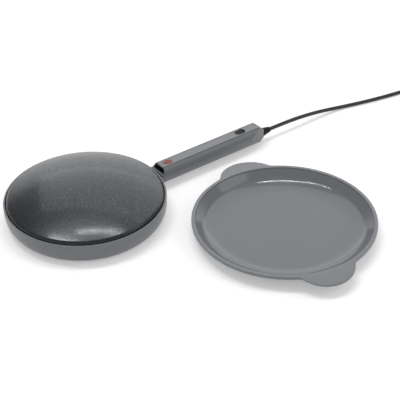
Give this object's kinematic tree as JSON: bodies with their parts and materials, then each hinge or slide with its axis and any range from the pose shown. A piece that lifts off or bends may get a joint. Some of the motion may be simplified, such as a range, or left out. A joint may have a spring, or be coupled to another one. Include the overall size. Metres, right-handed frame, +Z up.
{
  "type": "electric crepe maker",
  "caption": "Hand-held electric crepe maker: domed heated plate on a straight handle with rocker switch and mains cord, with a shallow round batter dish with two ears.",
  "frame": {"origin": "on the table, under the middle of the round head", "axes": "+X along the handle from head to cord, +Y to the handle's left, +Z up"},
  "size_m": [0.7236, 0.4117, 0.054],
  "materials": {
    "grey_shell": "satin moulded grey plastic",
    "grey_cover": "satin moulded grey plastic",
    "grey_dish": "glossy moulded grey plastic",
    "nonstick_plate": "fine speckled dark grey non-stick coating on cast aluminium",
    "black_rubber": "matt black rubber",
    "element_tube": "heat-darkened steel tube",
    "steel": "zinc-plated steel",
    "shield_sheet": "rolled aluminium sheet",
    "dark_phenolic": "dark brown moulded phenolic",
    "brass": "plain brass",
    "fuse_case": "plain aluminium case",
    "red_lens": "clear red moulded plastic",
    "lamp_glass": "clear glass",
    "black_plastic": "satin black moulded plastic",
    "white_nylon": "natural nylon",
    "cord_jacket": "satin black flexible jacket",
    "wire_insulation": "brown insulation",
    "neutral_insulation": "blue insulation",
    "pin_chrome": "nickel-plated brass"
  },
  "bodies": {
    "root": {"base_housing": "grey_shell", "clamp_screws": "steel", "cord": "cord_jacket", "cord_clamp": "black_plastic", "cord_coil": "cord_jacket", "cord_cores": "wire_insulation", "cord_inner": "cord_jacket", "cord_tail": "cord_jacket", "cord_tie": "black_plastic", "cover_screws": "steel", "element_lead": "wire_insulation", "element_pins": "steel", "fuse_clip": "steel", "fuse_clip_screw": "steel", "fuse_lead": "wire_insulation", "handle_body": "grey_shell", "handle_cover": "grey_cover", "heat_shield": "shield_sheet", "heating_element": "element_tube", "heating_plate": "nonstick_plate", "lamp_holder": "dark_phenolic", "lamp_leads": "wire_insulation", "live_lead": "wire_insulation", "mouth_insert": "black_plastic", "neck_screws": "steel", "neutral_lead": "neutral_insulation", "pilot_lamp": "lamp_glass", "pilot_lens": "red_lens", "plate_gasket": "black_rubber", "plate_screws": "steel", "plug_body": "black_plastic", "plug_pins": "pin_chrome", "pole_screws": "brass", "rocker_pin": "steel", "rubber_feet": "black_rubber", "strain_relief": "cord_jacket", "switch_body": "black_plastic", "switch_tabs": "brass", "switched_lead": "wire_insulation", "terminal_block": "white_nylon", "thermal_fuse": "fuse_case", "thermostat": "dark_phenolic", "thermostat_screws": "steel", "thermostat_tabs": "brass"},
    "rocker": {"switch_rocker": "black_plastic"},
    "dish": {"batter_dish": "grey_dish"}
  },
  "joints": [
    {"name": "rocker_tilt", "type": "hinge", "parent": "root", "child": "rocker", "pos_m": [0.2475, 0, 0.0255], "axis": [0, 1, 0], "range_deg": [0, 12]},
    {"name": "dish_lift", "type": "slide", "parent": "root", "child": "dish", "axis": [0, 0, 1], "range_m": [0, 0.08]}
  ]
}
